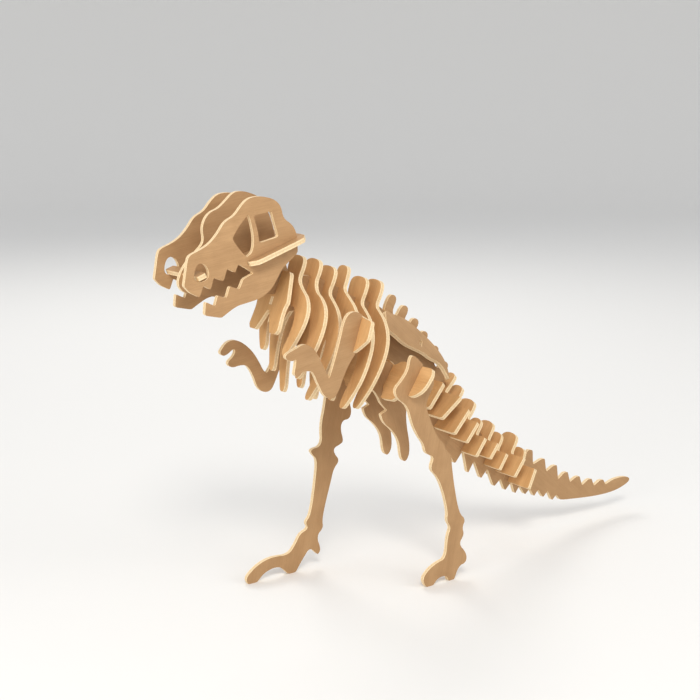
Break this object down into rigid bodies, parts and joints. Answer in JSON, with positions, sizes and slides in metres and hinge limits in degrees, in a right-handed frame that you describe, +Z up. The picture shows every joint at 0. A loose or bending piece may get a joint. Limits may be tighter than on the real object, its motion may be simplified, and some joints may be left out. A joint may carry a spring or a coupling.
{
  "type": "wooden dinosaur skeleton puzzle",
  "caption": "Slot-together plywood dinosaur skeleton standing on two legs: upright side plates crossed by leaning rib and vertebra plates that slide off their slots.",
  "frame": {"origin": "on the floor under the middle of the whole model", "axes": "+X towards the tail tip, +Y the animal's right side, +Z up"},
  "size_m": [0.4145, 0.1034, 0.2733],
  "materials": {
    "side_plates": "bare sanded plywood",
    "cross_plates": "bare sanded plywood"
  },
  "bodies": {
    "spine_board": {"spine_board": "side_plates"},
    "tail_board": {"tail_board": "side_plates"},
    "neck_plate": {"neck_plate": "cross_plates"},
    "rib_1": {"rib_1": "cross_plates"},
    "rib_2": {"rib_2": "cross_plates"},
    "rib_3": {"rib_3": "cross_plates"},
    "shoulder_rib": {"shoulder_rib": "cross_plates"},
    "rib_5": {"rib_5": "cross_plates"},
    "rib_6": {"rib_6": "cross_plates"},
    "skull_core": {"skull_core": "side_plates"},
    "left_skull": {"left_skull": "side_plates"},
    "right_skull": {"right_skull": "side_plates"},
    "cheek_bar": {"cheek_bar": "side_plates"},
    "snout_bar": {"snout_bar": "side_plates"},
    "left_arm": {"left_arm": "side_plates"},
    "right_arm": {"right_arm": "side_plates"},
    "sacrum_plate": {"sacrum_plate": "cross_plates"},
    "left_ilium": {"left_ilium": "side_plates"},
    "right_ilium": {"right_ilium": "side_plates"},
    "hip_plate": {"hip_plate": "cross_plates"},
    "left_pubis": {"left_pubis": "side_plates"},
    "right_pubis": {"right_pubis": "side_plates"},
    "left_leg": {"left_leg": "side_plates"},
    "right_leg": {"right_leg": "side_plates"},
    "vertebra_1": {"vertebra_1": "cross_plates"},
    "vertebra_2": {"vertebra_2": "cross_plates"},
    "vertebra_3": {"vertebra_3": "cross_plates"},
    "vertebra_4": {"vertebra_4": "cross_plates"},
    "vertebra_5": {"vertebra_5": "cross_plates"},
    "vertebra_6": {"vertebra_6": "cross_plates"},
    "vertebra_7": {"vertebra_7": "cross_plates"},
    "vertebra_8": {"vertebra_8": "cross_plates"},
    "vertebra_9": {"vertebra_9": "cross_plates"}
  },
  "joints": [
    {"name": "neck_off", "type": "slide", "parent": "spine_board", "child": "neck_plate", "axis": [-0.9272, 0, 0.3746], "range_m": [0, 0.03]},
    {"name": "head_lift", "type": "slide", "parent": "neck_plate", "child": "skull_core", "axis": [0.3746, 0, 0.9272], "range_m": [0, 0.03]},
    {"name": "cheek_bar_slide", "type": "slide", "parent": "skull_core", "child": "cheek_bar", "axis": [0, -1, 0], "range_m": [0, 0.06]},
    {"name": "snout_bar_slide", "type": "slide", "parent": "skull_core", "child": "snout_bar", "axis": [0, 1, 0], "range_m": [0, 0.05]},
    {"name": "left_skull_off", "type": "slide", "parent": "skull_core", "child": "left_skull", "axis": [0, -1, 0], "range_m": [0, 0.03]},
    {"name": "right_skull_off", "type": "slide", "parent": "skull_core", "child": "right_skull", "axis": [0, 1, 0], "range_m": [0, 0.03]},
    {"name": "rib_1_lift", "type": "slide", "parent": "spine_board", "child": "rib_1", "axis": [0.3173, 0, 0.9483], "range_m": [0, 0.04]},
    {"name": "rib_2_lift", "type": "slide", "parent": "spine_board", "child": "rib_2", "axis": [0.3173, 0, 0.9483], "range_m": [0, 0.04]},
    {"name": "rib_3_lift", "type": "slide", "parent": "spine_board", "child": "rib_3", "axis": [0.3173, 0, 0.9483], "range_m": [0, 0.04]},
    {"name": "shoulder_rib_lift", "type": "slide", "parent": "spine_board", "child": "shoulder_rib", "axis": [0.3173, 0, 0.9483], "range_m": [0, 0.04]},
    {"name": "rib_5_lift", "type": "slide", "parent": "spine_board", "child": "rib_5", "axis": [0.3173, 0, 0.9483], "range_m": [0, 0.04]},
    {"name": "rib_6_lift", "type": "slide", "parent": "spine_board", "child": "rib_6", "axis": [0.3173, 0, 0.9483], "range_m": [0, 0.04]},
    {"name": "left_arm_off", "type": "slide", "parent": "shoulder_rib", "child": "left_arm", "axis": [-0.3173, 0, -0.9483], "range_m": [0, 0.03]},
    {"name": "right_arm_off", "type": "slide", "parent": "shoulder_rib", "child": "right_arm", "axis": [-0.3173, 0, -0.9483], "range_m": [0, 0.03]},
    {"name": "sacrum_lift", "type": "slide", "parent": "spine_board", "child": "sacrum_plate", "axis": [0.6884, 0, 0.7254], "range_m": [0, 0.03]},
    {"name": "left_ilium_off", "type": "slide", "parent": "sacrum_plate", "child": "left_ilium", "axis": [0.3948, -0.8192, 0.4161], "range_m": [0, 0.03]},
    {"name": "right_ilium_off", "type": "slide", "parent": "sacrum_plate", "child": "right_ilium", "axis": [0.3948, 0.8192, 0.4161], "range_m": [0, 0.03]},
    {"name": "hip_drop", "type": "slide", "parent": "spine_board", "child": "hip_plate", "axis": [-0.5446, 0, -0.8387], "range_m": [0, 0.03]},
    {"name": "left_leg_off", "type": "slide", "parent": "hip_plate", "child": "left_leg", "axis": [-0.5446, 0, -0.8387], "range_m": [0, 0.03]},
    {"name": "left_pubis_off", "type": "slide", "parent": "hip_plate", "child": "left_pubis", "axis": [-0.5446, 0, -0.8387], "range_m": [0, 0.025]},
    {"name": "right_leg_off", "type": "slide", "parent": "hip_plate", "child": "right_leg", "axis": [-0.5446, 0, -0.8387], "range_m": [0, 0.03]},
    {"name": "right_pubis_off", "type": "slide", "parent": "hip_plate", "child": "right_pubis", "axis": [-0.5446, 0, -0.8387], "range_m": [0, 0.025]},
    {"name": "vertebra_1_drop", "type": "slide", "parent": "spine_board", "child": "vertebra_1", "axis": [-0.7431, 0, -0.6691], "range_m": [0, 0.012]},
    {"name": "vertebra_2_lift", "type": "slide", "parent": "spine_board", "child": "vertebra_2", "axis": [0.7314, 0, 0.682], "range_m": [0, 0.03]},
    {"name": "vertebra_3_lift", "type": "slide", "parent": "spine_board", "child": "vertebra_3", "axis": [0.6691, 0, 0.7431], "range_m": [0, 0.03]},
    {"name": "vertebra_4_lift", "type": "slide", "parent": "spine_board", "child": "vertebra_4", "axis": [0.6361, 0, 0.7716], "range_m": [0, 0.03]},
    {"name": "vertebra_5_lift", "type": "slide", "parent": "spine_board", "child": "vertebra_5", "axis": [0.6157, 0, 0.788], "range_m": [0, 0.03]},
    {"name": "vertebra_6_lift", "type": "slide", "parent": "spine_board", "child": "vertebra_6", "axis": [0.5878, 0, 0.809], "range_m": [0, 0.03]},
    {"name": "vertebra_7_lift", "type": "slide", "parent": "spine_board", "child": "vertebra_7", "axis": [0.5592, 0, 0.829], "range_m": [0, 0.03]},
    {"name": "vertebra_8_lift", "type": "slide", "parent": "spine_board", "child": "vertebra_8", "axis": [0.5299, 0, 0.848], "range_m": [0, 0.03]},
    {"name": "tail_slide", "type": "slide", "parent": "spine_board", "child": "tail_board", "axis": [0, 1, 0], "range_m": [0, 0.03]},
    {"name": "vertebra_9_lift", "type": "slide", "parent": "tail_board", "child": "vertebra_9", "axis": [0.4848, 0, 0.8746], "range_m": [0, 0.03]}
  ]
}
